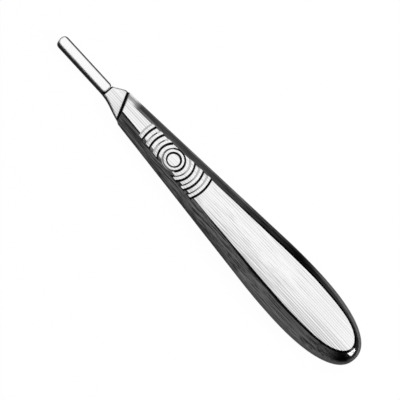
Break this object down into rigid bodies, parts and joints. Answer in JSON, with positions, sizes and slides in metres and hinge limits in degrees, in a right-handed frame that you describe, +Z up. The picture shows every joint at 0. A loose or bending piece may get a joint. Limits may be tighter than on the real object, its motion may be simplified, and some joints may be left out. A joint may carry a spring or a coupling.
{
  "type": "scalpel handle",
  "caption": "Heavy solid steel scalpel handle with a swelling oval body, concentric finger ridges on both flats and a grooved tongue for slide-on blades",
  "frame": {"origin": "centre of the bounding box's bottom face, on the surface the handle lies on", "axes": "+X from the blade fitting to the butt, +Y across the width, +Z up out of the grip face above the blade seat"},
  "size_m": [0.16, 0.0258, 0.0105],
  "materials": {
    "steel": "stainless steel, flats ground with a fine lengthwise grain, rims polished"
  },
  "bodies": {
    "root": {"scalpel_handle": "steel"}
  },
  "joints": []
}
